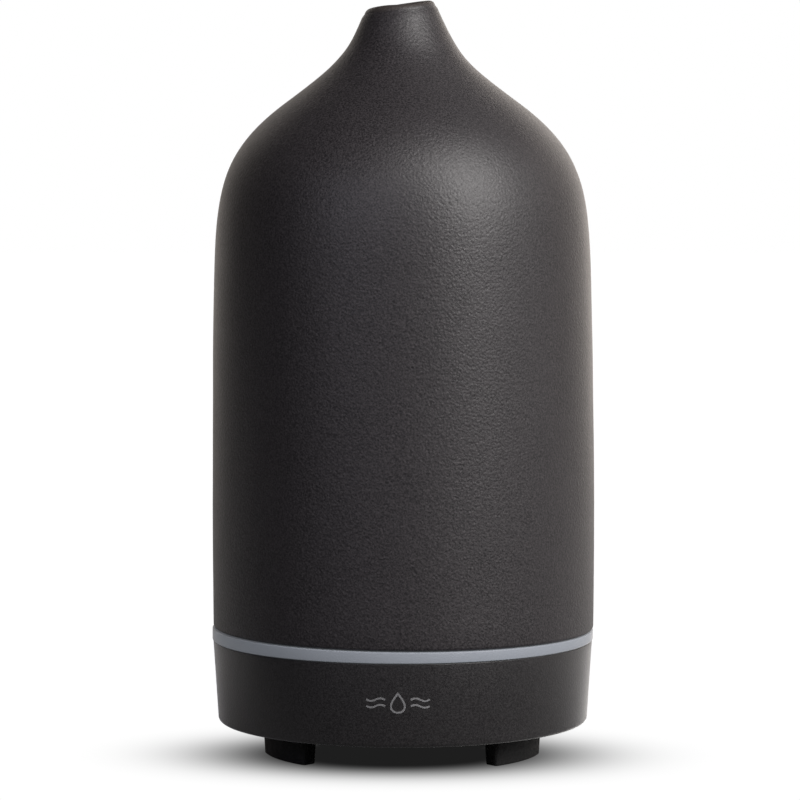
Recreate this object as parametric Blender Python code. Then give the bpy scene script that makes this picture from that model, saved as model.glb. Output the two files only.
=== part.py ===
"""Ultrasonic essential oil diffuser: stoneware cover over a round plastic base.

Z is up, the front faces -Y, the floor is z = 0.  Sizes below are millimetres.
"""

import math

import bmesh
import bpy
from mathutils import Matrix, Vector

MM = 0.001

# ---- outside sizes -------------------------------------------------------------------
COVER_WALL = 4.0
NECK_WALL = 3.2
COVER_LOW = 29.5
LIP_HEIGHT = 176.87
LIP_SLOPE_X = 0.139      # the mouth is cut lower on the left
LIP_SLOPE_Y = 0.09       # and lower at the front
LIP_SHEAR_START = 164.0
LIP_SHEAR_FULL = 174.0
# Bezier handles of the outer wall, top to bottom: neck flare, shoulder, side, foot.
NECK_CURVE = ((8.35, 176.2), (13.15, 164.8), (15.1, 163.1), (26.6, 154.5))
SHOULDER_CURVE = ((26.6, 154.5), (44.0, 141.9), (44.0, 133.0), (44.75, 107.3))
SIDE_CURVE = ((44.75, 107.3), (45.2, 88.0), (45.5, 52.0), (45.25, COVER_LOW + 0.8))
NECK_TAPER = 0.42      # the neck widens by this much for each millimetre down

RING_RADIUS = 45.3
RING_LOW = 26.8
RING_HIGH = 29.35

SHELL_LOW = 7.4
SHELL_TOP = 26.65
SHELL_RADIUS_LOW = 43.95
SHELL_RADIUS_TOP = 45.1

# ---- base interior -------------------------------------------------------------------
PLATE_LOW = 7.9
PLATE_TOP = 9.9
PLATE_RADIUS = 40.9

FOOT_INNER = 28.9
FOOT_OUTER = 33.8
FOOT_HALF_ANGLE = 19.0
FOOT_TOP = 8.3
FOOT_CORNER = 1.3      # rounding of a foot's corners, seen from above
FOOT_DRAFT = 0.5       # how far its sides lean in at the sole
FOOT_ANGLES = {"foot_front_left": 210.0, "foot_front_right": 330.0, "foot_rear": 90.0}

CASE_POST_RADIUS = 31.5
CASE_POST_ANGLES = (45.0, 165.0, 285.0)
CASE_POST_TOP = 15.8

BOARD_LOW = 11.75
BOARD_TOP = 13.35
BOARD_RADIUS = 38.3
PART_SEAT = BOARD_TOP + 0.15
BOARD_SCREWS = ((-14.0, -29.0), (-25.0, 21.0))

FAN_CENTRE = (16.5, -4.0)
FAN_SIZE = 30.0
FAN_LOW = 10.1
FAN_TOP = 20.1
FAN_HOLE_OFFSET = 12.0
FAN_SCREWS = ((12.0, 12.0), (-12.0, -12.0))

LED_COUNT = 8
LED_RADIUS = 39.4
LED_BOARD_LOW = 20.9
LED_BOARD_TOP = 21.9

CONTROL_HEIGHT = 17.0
BUTTON_ANGLES = {"mist": 115.0, "light": 65.0}

# ---- reservoir and lid ---------------------------------------------------------------
RIM_HEIGHT = 72.0
FILL_LINE = 63.0
CLAMP_SCREW_RADIUS = 17.4
CLAMP_SCREW_ANGLES = (30.0, 150.0, 270.0)
DUCT_CENTRE = (25.0, -6.0)
DUCT_RADIUS = 6.2
DUCT_BORE = 4.8
DUCT_TOP = 67.0

# ---- roundness -----------------------------------------------------------------------
FINE = 60
MEDIUM = 40
COARSE = 20
SMALL = 10
SMOOTH_ANGLE = math.radians(32.0)

PALETTE = {
    "stoneware": ((0.025, 0.023, 0.024), 0.6, 0.0),
    "black_plastic": ((0.014, 0.014, 0.015), 0.5, 0.0),
    "frosted": ((0.55, 0.58, 0.62), 0.45, 0.0),
    "white_plastic": ((0.78, 0.78, 0.76), 0.4, 0.0),
    "rubber": ((0.01, 0.01, 0.01), 0.8, 0.0),
    "silicone": ((0.7, 0.7, 0.68), 0.6, 0.0),
    "steel": ((0.6, 0.6, 0.62), 0.3, 1.0),
    "circuit_board": ((0.02, 0.16, 0.06), 0.5, 0.0),
    "white_board": ((0.75, 0.75, 0.72), 0.5, 0.0),
    "chip": ((0.02, 0.02, 0.02), 0.5, 0.0),
    "aluminium": ((0.7, 0.7, 0.72), 0.35, 1.0),
    "copper": ((0.65, 0.3, 0.12), 0.35, 1.0),
    "capacitor_sleeve": ((0.03, 0.05, 0.14), 0.4, 0.0),
    "red_wire": ((0.5, 0.02, 0.02), 0.5, 0.0),
    "black_wire": ((0.02, 0.02, 0.02), 0.5, 0.0),
    "led": ((0.85, 0.82, 0.6), 0.3, 0.0),
}


# ---- small helpers -------------------------------------------------------------------
def clear_scene():
    for obj in list(bpy.data.objects):
        bpy.data.objects.remove(obj, do_unlink=True)


def material(kind):
    found = bpy.data.materials.get(kind)
    if found:
        return found
    colour, roughness, metallic = PALETTE[kind]
    made = bpy.data.materials.new(kind)
    made.use_nodes = True
    shader = made.node_tree.nodes["Principled BSDF"]
    shader.inputs["Base Color"].default_value = (*colour, 1.0)
    shader.inputs["Roughness"].default_value = roughness
    shader.inputs["Metallic"].default_value = metallic
    made.diffuse_color = (*colour, 1.0)
    return made


def polar(radius, degrees):
    angle = math.radians(degrees)
    return radius * math.cos(angle), radius * math.sin(angle)


def finish(name, mesh, kind=None, smooth=True):
    """Turn a bmesh in millimetres into a named object in metres."""
    bmesh.ops.recalc_face_normals(mesh, faces=mesh.faces)
    bmesh.ops.scale(mesh, vec=(MM, MM, MM), verts=mesh.verts)
    data = bpy.data.meshes.new(name)
    mesh.to_mesh(data)
    mesh.free()
    obj = bpy.data.objects.new(name, data)
    bpy.context.scene.collection.objects.link(obj)
    if kind:
        data.materials.append(material(kind))
    if smooth:
        data.shade_smooth()
        data.set_sharp_from_angle(angle=SMOOTH_ANGLE)
    return obj


def lathe_mesh(profile, steps, closed):
    """Spin (radius, height) points round Z; a closed profile makes a ring-like solid."""
    mesh = bmesh.new()
    rings = []
    for radius, height in profile:
        if radius == 0:
            rings.append([mesh.verts.new((0, 0, height))])
            continue
        ring = []
        for step in range(steps):
            angle = 2 * math.pi * step / steps
            ring.append(mesh.verts.new((radius * math.cos(angle), radius * math.sin(angle), height)))
        rings.append(ring)
    pairs = list(zip(rings, rings[1:]))
    if closed:
        pairs.append((rings[-1], rings[0]))
    for lower, upper in pairs:
        for step in range(steps):
            after = (step + 1) % steps
            if len(lower) == 1:
                corners = (lower[0], upper[step], upper[after])
            elif len(upper) == 1:
                corners = (lower[step], lower[after], upper[0])
            else:
                corners = (lower[step], lower[after], upper[after], upper[step])
            mesh.faces.new(corners)
    return mesh


def lathe(name, profile, steps=MEDIUM, kind=None, at=(0, 0, 0), turn=None):
    """A turned solid; the profile closes on itself unless it starts on the axis."""
    mesh = lathe_mesh(profile, steps, closed=profile[0][0] > 0)
    if turn is not None:
        bmesh.ops.transform(mesh, matrix=turn, verts=mesh.verts)
    bmesh.ops.translate(mesh, vec=at, verts=mesh.verts)
    return finish(name, mesh, kind)


def rod(name, radius, low, high, at=(0, 0), steps=SMALL, kind=None):
    profile = [(0, low), (radius, low), (radius, high), (0, high)]
    return lathe(name, profile, steps, kind, at=(at[0], at[1], 0))


def block(name, low, high, kind=None, turn=None):
    mesh = bmesh.new()
    bmesh.ops.create_cube(mesh, size=1.0)
    size = [b - a for a, b in zip(low, high)]
    middle = [(a + b) / 2 for a, b in zip(low, high)]
    bmesh.ops.scale(mesh, vec=size, verts=mesh.verts)
    bmesh.ops.translate(mesh, vec=middle, verts=mesh.verts)
    if turn is not None:
        bmesh.ops.transform(mesh, matrix=turn, verts=mesh.verts)
    return finish(name, mesh, kind, smooth=False)


def arc_block(name, inner, outer, low, high, middle, half, steps=8):
    """A block bent round Z between two radii, `half` degrees either side of `middle`."""
    section = [(inner, low), (outer, low), (outer, high), (inner, high)]
    slices = []
    for step in range(steps + 1):
        angle = middle - half + 2 * half * step / steps
        slices.append([(*polar(radius, angle), height) for radius, height in section])
    return sweep(name, slices)


def sweep(name, slices, kind=None):
    """A solid that runs through matching closed sections, flat at both ends."""
    mesh = bmesh.new()
    rings = [[mesh.verts.new(point) for point in section] for section in slices]
    for one, two in zip(rings, rings[1:]):
        for index in range(len(one)):
            after = (index + 1) % len(one)
            mesh.faces.new((one[index], one[after], two[after], two[index]))
    mesh.faces.new(rings[0])
    mesh.faces.new(rings[-1])
    return finish(name, mesh, kind)


def combine(target, others, operation):
    """Boolean each helper solid into the target, then drop the helper."""
    for other in others:
        modifier = target.modifiers.new("combine", "BOOLEAN")
        modifier.operation = operation
        modifier.solver = "EXACT"
        modifier.object = other
        bpy.context.view_layer.update()
        graph = bpy.context.evaluated_depsgraph_get()
        merged = bpy.data.meshes.new_from_object(target.evaluated_get(graph))
        target.modifiers.clear()
        old = target.data
        merged.name = old.name
        target.data = merged
        bpy.data.meshes.remove(old)
        bpy.data.objects.remove(other, do_unlink=True)
    target.data.set_sharp_from_angle(angle=SMOOTH_ANGLE)
    return target


def cut(target, others):
    return combine(target, others, "DIFFERENCE")


def join(target, others):
    return combine(target, others, "UNION")


def bezier(handles, count):
    """Points along a cubic, without its last end."""
    p0, p1, p2, p3 = (Vector(point) for point in handles)
    points = []
    for step in range(count):
        t = step / count
        s = 1 - t
        points.append(p0 * s**3 + p1 * (3 * s * s * t) + p2 * (3 * s * t * t) + p3 * t**3)
    return points


def arc(centre, radius, start, end, count):
    """Points on an arc in the (radius, height) plane, angles in degrees."""
    points = []
    for step in range(count + 1):
        angle = math.radians(start + (end - start) * step / count)
        points.append((centre[0] + radius * math.cos(angle), centre[1] + radius * math.sin(angle)))
    return points


def facing_out(degrees, height):
    """Matrix that lays a Z-axis part along the outward direction at this angle."""
    spin = Matrix.Rotation(math.radians(degrees), 4, "Z")
    tip = Matrix.Rotation(math.radians(90), 4, "Y")
    return Matrix.Translation((0, 0, height)) @ spin @ tip


# ---- cover ---------------------------------------------------------------------------
def cover_outline():
    """Outer wall from under the lip down to the foot, as Vectors (radius, height)."""
    points = bezier(NECK_CURVE, 7) + bezier(SHOULDER_CURVE, 8) + bezier(SIDE_CURVE, 4)
    return points + [Vector(SIDE_CURVE[-1])]


def wall_thickness(height):
    start, full = 140.0, 172.0
    blend = min(max((height - start) / (full - start), 0.0), 1.0)
    return COVER_WALL + (NECK_WALL - COVER_WALL) * blend


def cover_profile():
    outer = cover_outline()
    inner = []
    for before, here, after in zip(outer, outer[1:], outer[2:]):
        along = (after - before).normalized()
        inward = Vector((along.y, -along.x))
        inner.append(here + inward * wall_thickness(here.y))
    inner = inner[1::2]
    foot_outer = arc((SIDE_CURVE[-1][0] - 0.8, COVER_LOW + 0.8), 0.8, -30, -90, 2)
    foot_inner_radius = SIDE_CURVE[-1][0] - COVER_WALL
    foot_inner = [(foot_inner_radius + 0.5, COVER_LOW), (foot_inner_radius, COVER_LOW + 0.5)]
    bore = NECK_CURVE[0][0] - NECK_WALL + 0.3
    lip_outer = arc((NECK_CURVE[0][0] - 1.5, LIP_HEIGHT - 1.5), 1.5, 80, 10, 3)
    lip_inner = arc((bore + 1.1, LIP_HEIGHT - 1.1), 1.1, 180, 100, 2)
    profile = list(lip_outer)
    profile += [tuple(point) for point in outer[1:]]
    profile += foot_outer
    profile += foot_inner
    profile += [tuple(point) for point in reversed(inner)]
    profile += lip_inner
    return profile


def lip_shear(height):
    blend = (height - LIP_SHEAR_START) / (LIP_SHEAR_FULL - LIP_SHEAR_START)
    blend = min(max(blend, 0.0), 1.0)
    return blend * blend * (3 - 2 * blend)


def build_cover():
    """The mouth is cut on a slant, so where its edge is lower the neck is wider."""
    mesh = lathe_mesh(cover_profile(), FINE, closed=True)
    for vert in mesh.verts:
        slant = LIP_SLOPE_X * vert.co.x + LIP_SLOPE_Y * vert.co.y
        rise = lip_shear(vert.co.z) * slant
        radius = math.hypot(vert.co.x, vert.co.y)
        spread = 1.0 - NECK_TAPER * rise / radius
        vert.co.x *= spread
        vert.co.y *= spread
        vert.co.z += rise
    return finish("ceramic_cover", mesh, "stoneware")


# ---- lid -----------------------------------------------------------------------------
def build_lid():
    """A bell that drops into the reservoir rim and narrows into the mist chimney."""
    wall = 1.6
    skirt_radius = 35.9
    skirt_low = 66.5
    flange_low = RIM_HEIGHT + 0.25
    flange_top = flange_low + 1.3
    bell = ((37.0, 92.0), (37.0, 116.0), (10.0, 122.0), (6.3, 146.0))
    chimney_top = 164.5
    outer = bezier(bell, 6) + [Vector(bell[-1])]
    inner = [(point.x - wall, point.y - 0.6) for point in reversed(outer)]
    profile = [
        (skirt_radius, skirt_low),
        (skirt_radius, flange_low),
        (38.4, flange_low),
        (38.4, flange_top),
        (37.0, flange_top),
    ]
    profile += [tuple(point) for point in outer]
    profile += [(6.3, chimney_top), (6.3 - wall, chimney_top)]
    profile += inner
    profile += [(skirt_radius - wall, flange_top), (skirt_radius - wall, skirt_low)]
    return lathe("inner_lid", profile, 36, "white_plastic")


# ---- reservoir -----------------------------------------------------------------------
def reservoir_profile():
    skirt = 38.3
    skirt_low = 23.6
    flange_low = RING_HIGH + 0.25
    return [
        (skirt, skirt_low),
        (skirt, flange_low),
        (40.0, flange_low),
        (40.0, flange_low + 1.2),
        (skirt, flange_low + 1.2),
        (37.9, RIM_HEIGHT - 0.6),
        (37.5, RIM_HEIGHT),
        (36.7, RIM_HEIGHT),
        (36.3, RIM_HEIGHT - 0.5),
        (35.95, FILL_LINE + 0.4),
        (35.55, FILL_LINE),
        (35.9, FILL_LINE - 0.4),
        (35.4, 44.5),
        (34.6, 41.2),
        (32.4, 39.2),
        (29.5, 38.5),
        (13.5, 37.2),
        (12.2, 36.2),
        (8.3, 36.0),
        (8.3, 34.0),
        (12.0, 34.0),
        (12.0, 30.8),
        (14.2, 30.8),
        (14.2, 34.4),
        (36.2, 35.4),
        (36.2, skirt_low),
    ]


def build_reservoir():
    tank = lathe("water_reservoir", reservoir_profile(), MEDIUM, "white_plastic")
    posts = []
    holes = []
    for angle in CASE_POST_ANGLES:
        spot = polar(CASE_POST_RADIUS, angle)
        posts.append(rod("post", 3.0, CASE_POST_TOP + 0.2, 36.0, spot, 16))
        holes.append(rod("hole", 1.4, CASE_POST_TOP - 1, 30.0, spot))
    for angle in CLAMP_SCREW_ANGLES:
        spot = polar(CLAMP_SCREW_RADIUS, angle)
        posts.append(rod("post", 2.6, 30.8, 36.0, spot, 16))
        holes.append(rod("hole", 1.3, 30.0, 35.1, spot))
    posts.append(rod("duct", DUCT_RADIUS, 36.5, DUCT_TOP, DUCT_CENTRE, COARSE))
    holes.append(rod("duct_bore", DUCT_BORE, 30.0, DUCT_TOP + 2, DUCT_CENTRE, COARSE))
    join(tank, posts)
    return cut(tank, holes)


def build_transducer():
    """Piezo disc in its silicone seal, held up against the tank floor by a steel plate."""
    seal = [
        (8.6, 30.9),
        (11.7, 30.9),
        (11.7, 33.8),
        (8.6, 33.8),
        (8.6, 32.9),
        (10.2, 32.9),
        (10.2, 31.6),
        (8.6, 31.6),
    ]
    lathe("transducer_seal", seal, COARSE, "silicone")
    rod("transducer_disc", 10.0, 31.75, 32.75, steps=COARSE, kind="steel")
    plate = lathe("transducer_clamp", [(6.0, 29.1), (20.3, 29.1), (20.3, 30.5), (6.0, 30.5)],
                  COARSE, "steel")
    holes = []
    for index, angle in enumerate(CLAMP_SCREW_ANGLES):
        spot = polar(CLAMP_SCREW_RADIUS, angle)
        holes.append(rod("hole", 1.4, 28.0, 31.5, spot))
        screw_up(f"clamp_screw_{index + 1}", spot, 28.9, 34.8, 2.1)
    cut(plate, holes)


# ---- screws --------------------------------------------------------------------------
def cross_recess(name, spot, low, high, reach):
    """The two crossed slots of a driver recess."""
    half = 0.3
    return [
        block(name, (spot[0] - reach, spot[1] - half, low), (spot[0] + reach, spot[1] + half, high)),
        block(name, (spot[0] - half, spot[1] - reach, low), (spot[0] + half, spot[1] + reach, high)),
    ]


def screw_up(name, spot, seat, tip, head, shank=1.1, thick=1.6):
    """A screw driven upwards: head under `seat`, shank up to `tip`."""
    profile = [
        (0, seat - thick),
        (head * 0.8, seat - thick),
        (head, seat - thick + 0.4),
        (head, seat),
        (shank, seat),
        (shank, tip),
        (0, tip),
    ]
    return lathe(name, profile, SMALL, "steel", at=(spot[0], spot[1], 0))


def screw_down(name, spot, seat, tip, head, shank=1.1, thick=1.3):
    """A screw driven downwards: head on `seat`, shank down to `tip`."""
    profile = [
        (0, tip),
        (shank, tip),
        (shank, seat),
        (head, seat),
        (head, seat + thick - 0.4),
        (head * 0.8, seat + thick),
        (0, seat + thick),
    ]
    return lathe(name, profile, SMALL, "steel", at=(spot[0], spot[1], 0))


# ---- base shell and floor ------------------------------------------------------------
def build_shell():
    """Tapered side wall with a ledge for the light board and one for the floor plate."""
    profile = [
        (SHELL_RADIUS_LOW - 0.9, SHELL_LOW),
        (SHELL_RADIUS_LOW - 0.3, SHELL_LOW + 0.25),
        (SHELL_RADIUS_LOW, SHELL_LOW + 0.9),
        (SHELL_RADIUS_TOP, SHELL_TOP - 0.2),
        (SHELL_RADIUS_TOP - 0.2, SHELL_TOP),
        (42.4, SHELL_TOP),
        (42.1, LED_BOARD_LOW - 0.1),
        (40.3, LED_BOARD_LOW - 0.1),
        (40.3, LED_BOARD_LOW - 1.4),
        (42.0, LED_BOARD_LOW - 2.2),
        (41.3, 11.3),
        (39.6, 11.3),
        (39.6, 10.1),
        (41.2, 10.1),
        (41.2, SHELL_LOW),
    ]
    shell = lathe("base_shell", profile, FINE, "black_plastic")
    openings = []
    for angle in BUTTON_ANGLES.values():
        place = facing_out(angle, CONTROL_HEIGHT)
        openings.append(lathe("button_hole", [(0, 38), (3.15, 38), (3.15, 48), (0, 48)], COARSE, turn=place))
        openings.append(lathe("pocket", [(0, 38), (4.1, 38), (4.1, 41.5), (0, 41.5)], COARSE, turn=place))
    place = facing_out(90.0, CONTROL_HEIGHT)
    openings.append(lathe("inlet_hole", [(0, 36), (4.0, 36), (4.0, 48), (0, 48)], COARSE, turn=place))
    return cut(shell, openings)


def build_light_ring():
    """Frosted band between cover and shell, with a lip that catches the light below."""
    profile = [
        (40.2, RING_LOW),
        (RING_RADIUS - 0.25, RING_LOW),
        (RING_RADIUS, RING_LOW + 0.25),
        (RING_RADIUS, RING_HIGH - 0.25),
        (RING_RADIUS - 0.25, RING_HIGH),
        (38.7, RING_HIGH),
        (38.7, 23.8),
        (40.2, 23.8),
    ]
    return lathe("light_ring", profile, FINE, "frosted")


def build_floor_plate():
    """Bottom plate: screw posts, board posts, foot pockets and the fan's intake slots."""
    disc = [
        (0, PLATE_LOW),
        (PLATE_RADIUS - 0.3, PLATE_LOW),
        (PLATE_RADIUS, PLATE_LOW + 0.3),
        (PLATE_RADIUS, PLATE_TOP),
        (0, PLATE_TOP),
    ]
    plate = lathe("bottom_cover", disc, MEDIUM, "black_plastic")
    posts = []
    holes = []
    for angle in CASE_POST_ANGLES:
        spot = polar(CASE_POST_RADIUS, angle)
        posts.append(rod("post", 4.0, PLATE_TOP - 0.5, CASE_POST_TOP, spot, 16))
        holes.append(rod("counterbore", 2.7, PLATE_LOW - 1, 11.8, spot, 16))
        holes.append(rod("through", 1.5, 11.0, CASE_POST_TOP + 1, spot))
    for spot in BOARD_SCREWS:
        posts.append(rod("post", 2.3, PLATE_TOP - 0.5, BOARD_LOW - 0.15, spot))
        holes.append(rod("pilot", 1.1, PLATE_TOP - 1.2, BOARD_LOW + 1, spot))
    for offset in FAN_SCREWS:
        spot = (FAN_CENTRE[0] + offset[0], FAN_CENTRE[1] + offset[1])
        holes.append(rod("pilot", 1.3, PLATE_LOW + 0.5, PLATE_TOP + 1, spot))
    for angle in FOOT_ANGLES.values():
        holes.append(arc_block("pocket", FOOT_INNER - 0.2, FOOT_OUTER + 0.2, PLATE_LOW - 1,
                               FOOT_TOP + 0.2, angle, FOOT_HALF_ANGLE + 0.4))
    join(plate, posts)
    return cut(plate, holes + intake_slots())


def intake_slots():
    slots = []
    reach = 10.5
    pitch = 3.4
    half_width = 0.9
    for row in range(-3, 4):
        across = row * pitch
        half_length = math.sqrt(max(reach**2 - across**2, 4.0))
        x = FAN_CENTRE[0] + across
        low = (x - half_width, FAN_CENTRE[1] - half_length, PLATE_LOW - 1)
        high = (x + half_width, FAN_CENTRE[1] + half_length, PLATE_TOP + 1)
        slots.append(block("slot", low, high))
    return slots


def pad_outline(middle, inset):
    """Plan of a foot, drawn in by `inset` all round: a bent bar with rounded corners."""
    centres = (FOOT_OUTER - FOOT_CORNER, FOOT_INNER + FOOT_CORNER)
    spans = [FOOT_HALF_ANGLE - math.degrees(math.asin(FOOT_CORNER / radius)) for radius in centres]
    outline = arc((0, 0), FOOT_OUTER - inset, middle - spans[0], middle + spans[0], 8)[1:-1]
    for side, row in ((1, 0), (1, 1), (-1, 1), (-1, 0)):
        turn = middle + side * spans[row]
        ends = [turn + side * 180 * row, middle + side * (FOOT_HALF_ANGLE + 90)]
        outline += arc(polar(centres[row], turn), FOOT_CORNER - inset, min(ends), max(ends), 3)
        if (side, row) == (1, 1):
            outline += arc((0, 0), FOOT_INNER + inset, middle + spans[1], middle - spans[1], 8)[1:-1]
    return outline


def build_feet():
    """Rubber pads, a little narrower at the sole, pressed into pockets of the bottom plate."""
    levels = ((0.0, FOOT_DRAFT + 0.3), (0.3, FOOT_DRAFT), (FOOT_TOP, 0.0))
    for name, middle in FOOT_ANGLES.items():
        slices = [[(*point, height) for point in pad_outline(middle, inset)] for height, inset in levels]
        sweep(name, slices, "rubber")


def build_case_screws():
    for index, angle in enumerate(CASE_POST_ANGLES):
        spot = polar(CASE_POST_RADIUS, angle)
        screw = screw_up(f"case_screw_{index + 1}", spot, 11.6, 28.0, 2.3, shank=1.15, thick=1.8)
        cut(screw, cross_recess("slot", spot, 9.0, 10.6, 1.4))


# ---- electronics ---------------------------------------------------------------------
def build_main_board():
    board = rod("main_board", BOARD_RADIUS, BOARD_LOW, BOARD_TOP, steps=MEDIUM, kind="circuit_board")
    half = FAN_SIZE / 2 + 0.8
    low = (FAN_CENTRE[0] - half, FAN_CENTRE[1] - half, BOARD_LOW - 1)
    high = (BOARD_RADIUS + 5, FAN_CENTRE[1] + half, BOARD_TOP + 1)
    holes = [block("fan_notch", low, high)]
    for angle in CASE_POST_ANGLES:
        spot = polar(CASE_POST_RADIUS, angle)
        holes.append(rod("post_hole", 4.5, BOARD_LOW - 1, BOARD_TOP + 1, spot, 16))
    for spot in BOARD_SCREWS:
        holes.append(rod("screw_hole", 1.3, BOARD_LOW - 1, BOARD_TOP + 1, spot))
    for index, spot in enumerate(BOARD_SCREWS):
        screw_down(f"board_screw_{index + 1}", spot, BOARD_TOP + 0.15, PLATE_TOP - 1.0, 2.0, shank=0.95)
    return cut(board, holes)


def build_board_parts():
    seat = PART_SEAT
    rod("inductor", 4.5, seat, seat + 7.0, (-11.0, 12.0), COARSE, "copper")
    rod("capacitor", 4.0, seat, seat + 11.0, (-13.0, 25.0), COARSE, "capacitor_sleeve")
    block("controller_chip", (-9.0, -8.5, seat), (-3.0, -3.5, seat + 1.6), "chip")
    block("transducer_connector", (-8.5, -18.0, seat), (-3.5, -14.0, seat + 5.0), "white_plastic")
    block("fan_connector", (-7.0, 0.0, seat), (-2.0, 4.0, seat + 5.0), "white_plastic")
    block("power_transistor", (-26.0, -17.2, seat), (-16.0, -13.0, seat + 10.0), "chip")
    sink = block("heat_sink", (-28.0, -12.6, seat), (-14.0, -4.0, seat + 11.5), "aluminium")
    gaps = []
    for row in range(4):
        x = -26.6 + row * 3.2
        gaps.append(block("gap", (x, -10.6, seat - 1), (x + 1.9, -3.0, seat + 13.0)))
    cut(sink, gaps)


def build_led_ring():
    profile = [(35.2, LED_BOARD_LOW), (41.0, LED_BOARD_LOW), (41.0, LED_BOARD_TOP), (35.2, LED_BOARD_TOP)]
    lathe("led_board", profile, MEDIUM, "white_board")
    for index in range(LED_COUNT):
        spin = Matrix.Rotation(math.radians((index + 0.5) * 360 / LED_COUNT), 4, "Z")
        block(f"led_{index + 1}", (LED_RADIUS - 1.2, -1.5, LED_BOARD_TOP + 0.1),
              (LED_RADIUS + 1.2, 1.5, LED_BOARD_TOP + 1.2), "led", turn=spin)


def build_power_inlet():
    axis = CONTROL_HEIGHT
    front = 44.35
    body = block("dc_jack", (-4.5, 28.5, PART_SEAT), (4.5, 39.0, 20.4), "black_plastic")
    out = facing_out(90.0, axis)
    nose = lathe("nose", [(0, 38.6), (3.8, 38.6), (3.8, front), (0, front)], COARSE, turn=out)
    bore = lathe("bore", [(0, 33), (2.85, 33), (2.85, front + 2), (0, front + 2)], 20, turn=out)
    join(body, [nose])
    cut(body, [bore])
    pin = [(0, 33.15), (1.0, 33.15), (1.0, 42.4), (0.6, 42.8), (0, 42.8)]
    lathe("dc_jack_pin", pin, SMALL, "steel", turn=out)


def build_buttons():
    """Two push buttons in the rear wall, each in front of its own tact switch."""
    for use, angle in BUTTON_ANGLES.items():
        out = facing_out(angle, CONTROL_HEIGHT)
        cap = [
            (0, 38.95),
            (1.5, 38.95),
            (1.5, 40.0),
            (3.75, 40.0),
            (3.75, 41.1),
            (2.9, 41.1),
            (2.9, 44.8),
            (2.5, 45.2),
            (0, 45.3),
        ]
        lathe(f"{use}_button", cap, COARSE, "black_plastic", turn=out)
        spin = Matrix.Rotation(math.radians(angle), 4, "Z")
        body = block(f"{use}_switch", (34.4, -3.0, PART_SEAT), (37.5, 3.0, 19.4), "chip", turn=spin)
        plunger = lathe("plunger", [(0, 36), (1.7, 36), (1.7, 38.2), (0, 38.2)], SMALL, turn=out)
        join(body, [plunger])


# ---- fan -----------------------------------------------------------------------------
def build_fan():
    half = FAN_SIZE / 2
    x, y = FAN_CENTRE
    frame = block("fan_frame", (x - half, y - half, FAN_LOW), (x + half, y + half, FAN_TOP), "black_plastic")
    holes = [rod("tunnel", 14.0, FAN_LOW - 1, FAN_TOP + 1, FAN_CENTRE, 32)]
    for sx in (-1, 1):
        for sy in (-1, 1):
            spot = (x + sx * FAN_HOLE_OFFSET, y + sy * FAN_HOLE_OFFSET)
            holes.append(rod("hole", 1.5, FAN_LOW - 1, FAN_TOP + 1, spot))
    cut(frame, holes)
    spokes = [rod("motor_seat", 7.0, FAN_LOW, FAN_LOW + 1.2, FAN_CENTRE, COARSE)]
    for angle in (90, 210, 330):
        turn = Matrix.Translation((x, y, 0)) @ Matrix.Rotation(math.radians(angle), 4, "Z")
        spokes.append(block("spoke", (5.0, -0.9, FAN_LOW), (14.8, 0.9, FAN_LOW + 1.2), turn=turn))
    join(frame, spokes)
    for index, offset in enumerate(FAN_SCREWS):
        spot = (x + offset[0], y + offset[1])
        screw_down(f"fan_screw_{index + 1}", spot, FAN_TOP + 0.15, PLATE_LOW + 0.7, 2.1)
    build_rotor()


def build_rotor():
    low = FAN_LOW + 1.6
    high = FAN_TOP - 0.4
    rotor = rod("fan_rotor", 7.6, low, high, steps=COARSE, kind="black_plastic")
    blades = []
    for index in range(7):
        blades.append(fan_blade(index * 360 / 7, low + 0.6, high - 0.8))
    join(rotor, blades)
    rotor.data.transform(Matrix.Translation((0, 0, -FAN_LOW * MM)))
    rotor.location = (FAN_CENTRE[0] * MM, FAN_CENTRE[1] * MM, FAN_LOW * MM)


def fan_blade(start, low, high):
    """A pitched blade: its top edge leads its bottom edge round the hub."""
    mesh = bmesh.new()
    pitch = 30.0
    thick = 4.0
    corners = []
    for height, lead in ((low, 0.0), (high, pitch)):
        for radius, width in ((6.6, thick * 1.6), (13.4, thick)):
            for side in (0.0, width):
                corners.append(mesh.verts.new((*polar(radius, start + lead + side), height)))
    faces = ((0, 1, 3, 2), (4, 6, 7, 5), (0, 2, 6, 4), (1, 5, 7, 3), (0, 4, 5, 1), (2, 3, 7, 6))
    for face in faces:
        mesh.faces.new([corners[index] for index in face])
    bmesh.ops.triangulate(mesh, faces=mesh.faces)
    return finish("blade", mesh, smooth=False)


# ---- wiring --------------------------------------------------------------------------
def wire(name, path, kind, radius=0.55, sides=6):
    """A round lead along straight runs, mitred at the bends."""
    mesh = bmesh.new()
    points = [Vector(point) for point in path]
    rings = []
    side = None
    for index, point in enumerate(points):
        before = points[max(index - 1, 0)]
        after = points[min(index + 1, len(points) - 1)]
        along = (after - before).normalized()
        guess = side if side is not None else Vector((0.3, 1.0, 0.2))
        side = (guess - along * guess.dot(along)).normalized()
        up = along.cross(side)
        ring = []
        for step in range(sides):
            angle = 2 * math.pi * step / sides
            offset = side * math.cos(angle) + up * math.sin(angle)
            ring.append(mesh.verts.new(point + offset * radius))
        rings.append(ring)
    for one, two in zip(rings, rings[1:]):
        for step in range(sides):
            after = (step + 1) % sides
            mesh.faces.new((one[step], one[after], two[after], two[step]))
    mesh.faces.new(rings[0])
    mesh.faces.new(rings[-1])
    return finish(name, mesh, kind)


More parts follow.
